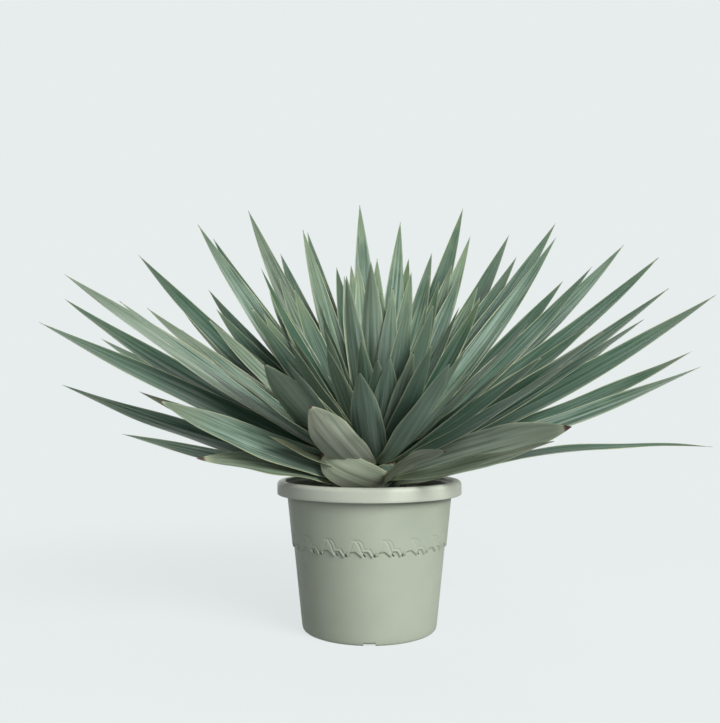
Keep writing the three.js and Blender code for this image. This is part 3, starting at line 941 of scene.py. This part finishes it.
# [bearing, rise, length, width, lift] of the leaves that fill the rosette, in degrees and mm.
FILLER_LEAVES = {
    "old_leaf": [
        [228, 19, 210, 40, 10], [60, 18, 430, 40, 6], [96, 16, 420, 42, 6], [160, 18, 460, 40, 6],
        [216, 33, 367, 46, 10], [228, 28, 339, 46, 8],
    ],
    "leaf": [
        [244, 32, 293, 38, 12], [272, 60, 262, 40, 10], [270, 42, 221, 38, 12], [267, 60, 311, 40, 10],
        [338, 32, 389, 42, 10], [2, 35, 398, 42, 10], [340, 35, 291, 42, 10], [316, 34, 309, 42, 10],
        [326, 41, 313, 40, 12], [287, 38, 272, 40, 14], [283, 40, 246, 36, 14], [297, 36, 281, 40, 12],
        [302, 34, 252, 40, 12], [244, 36, 298, 40, 14], [160, 43, 379, 42, 12], [170, 42, 322, 40, 12],
        [42, 47, 520, 44, 8], [24, 42, 477, 44, 10], [122, 49, 529, 42, 8], [132, 52, 411, 42, 8],
        [106, 54, 440, 40, 8], [110, 49, 505, 42, 8], [66, 56, 458, 42, 8], [117, 54, 440, 40, 8],
        [50, 59, 393, 40, 10], [42, 59, 366, 40, 8],
        [72, 36, 470, 46, 8], [84, 42, 480, 44, 8], [112, 36, 470, 46, 8], [148, 34, 500, 46, 8],
        [14, 30, 500, 44, 8], [44, 34, 500, 46, 8], [182, 36, 430, 44, 8], [194, 42, 330, 42, 10],
    ],
    "young_leaf": [
        [282, 50, 288, 38, 14], [269, 66, 222, 38, 10], [231, 62, 245, 38, 12], [235, 58, 221, 36, 12],
        [165, 53, 292, 38, 12], [172, 52, 306, 38, 12], [160, 58, 298, 38, 12], [155, 56, 330, 38, 10],
        [150, 62, 308, 38, 10], [101, 57, 420, 40, 8], [89, 62, 400, 42, 8], [74, 59, 420, 42, 8],
        [80, 59, 380, 36, 8], [28, 55, 325, 36, 12], [10, 58, 294, 36, 12], [20, 59, 322, 36, 12],
        [105, 72, 330, 34, 8], [60, 70, 320, 34, 8], [200, 72, 270, 34, 8], [310, 66, 235, 36, 10],
        [340, 62, 250, 36, 10], [20, 74, 290, 32, 6], [130, 76, 290, 32, 6], [265, 78, 240, 32, 4],
    ],
}


FILLER_WEAR = {"old_leaf": 0.6, "leaf": 0.3, "young_leaf": 0.1}
SHORT_FILLER = 345


class YUCCA_OT_filler_leaves(bpy.types.Operator):
    """Make the smaller leaves that fill the rosette"""

    bl_idname = "yucca.filler_leaves"
    bl_label = "Filler leaves"

    def execute(self, context):
        settings = context.scene.yucca_leaf
        number = 0
        for slot, rows in FILLER_LEAVES.items():
            for bearing, rise, size, width, lift in rows:
                number += 1
                blade = rule_blade(bearing, rise, size * MM, width * MM, lift)
                habit = Habit(blunt=2.3 if size < SHORT_FILLER else 1.9)
                name = f"filler_leaf_{number:02d}"
                blade_piece(name, blade, settings, slot, 200 + number, habit, FILLER_WEAR[slot])
        return {"FINISHED"}


LEAF_BASES = 16
BASE_LEANS = (0, 5, 9, 16)
BASE_RISES = (0, 0.3, 0.65, 1)
BASE_WIDTHS = (34, 34, 30, 22)


class YUCCA_OT_leaf_bases(bpy.types.Operator):
    """Make the short clasping bases left where old leaves came off the stem"""

    bl_idname = "yucca.leaf_bases"
    bl_label = "Leaf bases"

    def execute(self, context):
        settings = context.scene.yucca_leaf
        chance = np.random.default_rng(17)
        for number in range(LEAF_BASES):
            level = 14 * MM if number % 2 == 0 else 28 * MM
            heading = math.radians(360 / LEAF_BASES * number + chance.uniform(-5, 5))
            out = np.array(on_circle(1.0, heading, 0.0))
            foot = np.array([STEM_X, 0, STEM_LOW.z + level]) + out * 33 * MM
            size = chance.uniform(24, 40) * MM
            leans = zip(BASE_LEANS, BASE_RISES)
            path = [foot + out * lean * MM + [0, 0, rise * size] for lean, rise in leans]
            blade = bent_blade(path, np.array(BASE_WIDTHS) * MM, -out)
            # Painted shade: tone 0 gives the leaf bases the most deep green, as they sit in the dark gaps
            # round the stem.
            habit = Habit(blunt=chance.uniform(2.2, 4.5), burn=0.10, tone=0.0)
            name = f"leaf_base_{number + 1:02d}"
            blade_piece(name, blade, settings, "old_leaf", 320 + number, habit, 1.2, 0.6)
        return {"FINISHED"}


# Middle line and widths of the leaf that droops over the soil, from its base.
DROOPING_PATH = (
    (0.030, -0.034, 0.229), (0.004, -0.064, 0.238), (-0.028, -0.090, 0.252), (-0.056, -0.104, 0.268),
    (-0.073, -0.104, 0.283),
)
DROOPING_WIDTHS = (26, 46, 54, 50, 30)


class YUCCA_OT_drooping_leaf(bpy.types.Operator):
    """Make the short old leaf that droops over the soil at the front"""

    bl_idname = "yucca.drooping_leaf"
    bl_label = "Drooping leaf"

    def execute(self, context):
        settings = context.scene.yucca_leaf
        blade = bent_blade(DROOPING_PATH, np.array(DROOPING_WIDTHS) * MM, (-0.2, 0.9, 0.4))
        habit = Habit(blunt=3.0, burn=0.06, dust=0.35, tone=1.0)
        blade_piece("drooping_leaf", blade, settings, "old_leaf", 301, habit, 1.9, 1.2)
        return {"FINISHED"}


# ---- Stage ------------------------------------------------------------------------------------------

def stage_material(settings):
    """A pale floor that takes a soft shadow near the pot and runs out evenly into the backdrop."""
    nodes = Nodes("pale_floor")
    place = place_of_surface(nodes)
    radius = nodes.add("ShaderNodeVectorMath", {0: place}, operation="LENGTH").outputs["Value"]
    speckle = nodes.noise(place, 260.0, 2.0)
    lit = nodes.mix(nodes.span(speckle, 0.3, 0.7), (0.56, 0.60, 0.60), (0.60, 0.64, 0.64))
    paper = nodes.add("ShaderNodeBsdfDiffuse", {"Color": lit, "Roughness": 0.8}).outputs[0]
    glow = nodes.add("ShaderNodeEmission", {"Color": (*settings.backdrop, 1.0), "Strength": 1.0}).outputs[0]
    share = nodes.span(radius, 0.35, 1.6, 1 - settings.shadow_share, 1.0)
    blend = nodes.add("ShaderNodeMixShader", {0: share, 1: paper, 2: glow})
    nodes.tree.links.new(blend.outputs[0], nodes.output.inputs[0])
    return nodes.material


def area_light(name, place, target, size, power, tint=(1, 1, 1)):
    data = bpy.data.lights.new(name, "AREA")
    data.shape = "DISK"
    data.size = size
    data.energy = power
    data.color = tint
    lamp = bpy.data.objects.new(name, data)
    lamp.location = place
    lamp.rotation_euler = (Vector(target) - Vector(place)).to_track_quat("-Z", "Y").to_euler()
    bpy.context.scene.collection.objects.link(lamp)


def make_floor(settings, rings=(0.2, 0.5, 1.0, 2.0, 4.0, 9.0), segments=96):
    """A flat disc of rings about the origin."""
    points, faces = [(0.0, 0.0, 0.0)], []
    for radius in rings:
        points += [on_circle(radius, 2 * math.pi * step / segments, 0.0) for step in range(segments)]
    for step in range(segments):
        side = (step + 1) % segments
        faces.append((0, 1 + step, 1 + side))
        for ring in range(len(rings) - 1):
            low = 1 + ring * segments
            faces.append((low + step, low + segments + step, low + segments + side, low + side))
    mesh = bpy.data.meshes.new("floor")
    mesh.from_pydata(points, [], faces)
    mesh.materials.append(stage_material(settings))
    floor = bpy.data.objects.new("floor", mesh)
    floor.visible_diffuse = False
    bpy.context.scene.collection.objects.link(floor)


def make_world(settings):
    """The backdrop's colour behind the plant, and a weaker even light on it."""
    world = bpy.data.worlds.new("even_light")
    bpy.context.scene.world = world
    world.use_nodes = True
    tree = world.node_tree
    seen = tree.nodes["Background"]
    seen.inputs["Color"].default_value = (*settings.backdrop, 1)
    around = tree.nodes.new("ShaderNodeBackground")
    around.inputs["Color"].default_value = (*settings.backdrop, 1)
    around.inputs["Strength"].default_value = settings.sky
    choice = tree.nodes.new("ShaderNodeMixShader")
    tree.links.new(tree.nodes.new("ShaderNodeLightPath").outputs["Is Camera Ray"], choice.inputs[0])
    tree.links.new(around.outputs[0], choice.inputs[1])
    tree.links.new(seen.outputs[0], choice.inputs[2])
    tree.links.new(choice.outputs[0], tree.nodes["World Output"].inputs[0])


def make_camera(settings):
    data = bpy.data.cameras.new("camera")
    data.lens = settings.lens
    data.clip_end = 50
    camera = bpy.data.objects.new("camera", data)
    camera.location = (0, -settings.camera_distance, settings.camera_height)
    camera.rotation_euler = (math.pi / 2 + settings.camera_tilt, 0, settings.camera_turn)
    bpy.context.scene.collection.objects.link(camera)
    bpy.context.scene.camera = camera


class YUCCA_OT_stage(bpy.types.Operator):
    """Make the pale floor, the soft light and the camera"""

    bl_idname = "yucca.stage"
    bl_label = "Stage"

    def execute(self, context):
        settings = context.scene.yucca_stage
        context.scene.view_settings.view_transform = "Standard"
        make_floor(settings)
        area_light("key", (1.9, -2.2, 1.75), (0, 0, 0.3), 1.9, settings.key_power, (1.0, 0.99, 0.965))
        area_light("front", (0.4, -2.9, 0.55), (0, 0, 0.25), 2.2, settings.front_power)
        area_light("fill", (-2.4, -2.0, 1.0), (0, 0, 0.3), 2.0, settings.fill_power, (0.97, 0.985, 1.0))
        area_light("top", (0.1, 1.2, 2.7), (0, 0, 0.3), 2.2, settings.top_power)
        area_light("rear", (-0.9, 2.9, 0.9), (0, 0, 0.2), 2.4, settings.rear_power)
        make_world(settings)
        make_camera(settings)
        return {"FINISHED"}


# ---- Panel and registration -------------------------------------------------------------------------

class YUCCA_PT_panel(bpy.types.Panel):
    """Lists the pieces of the yucca and their settings"""

    bl_label = "Potted Yucca"
    bl_idname = "YUCCA_PT_panel"
    bl_space_type = "VIEW_3D"
    bl_region_type = "UI"
    bl_category = "Yucca"

    def draw(self, context):
        for operator in OPERATORS:
            self.layout.operator(operator.bl_idname)
        for holder in SETTINGS:
            box = self.layout.box()
            box.label(text=holder.replace("_", " "))
            group = getattr(context.scene, holder)
            for prop in group.bl_rna.properties:
                if prop.identifier not in ("name", "rna_type"):
                    box.prop(group, prop.identifier)


SETTINGS = {
    "yucca_pot": YuccaPotSettings,
    "yucca_soil": YuccaSoilSettings,
    "yucca_leaf": YuccaLeafSettings,
    "yucca_stage": YuccaStageSettings,
}
OPERATORS = (
    YUCCA_OT_stage, YUCCA_OT_pot, YUCCA_OT_soil, YUCCA_OT_stem, YUCCA_OT_leaves, YUCCA_OT_filler_leaves,
    YUCCA_OT_leaf_bases, YUCCA_OT_drooping_leaf,
)


def register():
    for holder, group in SETTINGS.items():
        bpy.utils.register_class(group)
        setattr(bpy.types.Scene, holder, bpy.props.PointerProperty(type=group))
    for operator in OPERATORS:
        bpy.utils.register_class(operator)
    bpy.utils.register_class(YUCCA_PT_panel)


def unregister():
    bpy.utils.unregister_class(YUCCA_PT_panel)
    for operator in reversed(OPERATORS):
        bpy.utils.unregister_class(operator)
    for holder, group in reversed(SETTINGS.items()):
        delattr(bpy.types.Scene, holder)
        bpy.utils.unregister_class(group)


def main():
    register()
    bpy.ops.yucca.stage()
    bpy.ops.yucca.pot()
    bpy.ops.yucca.soil()
    bpy.ops.yucca.stem()
    bpy.ops.yucca.leaves()
    bpy.ops.yucca.filler_leaves()
    bpy.ops.yucca.leaf_bases()
    bpy.ops.yucca.drooping_leaf()


if __name__ == "__main__":
    main()
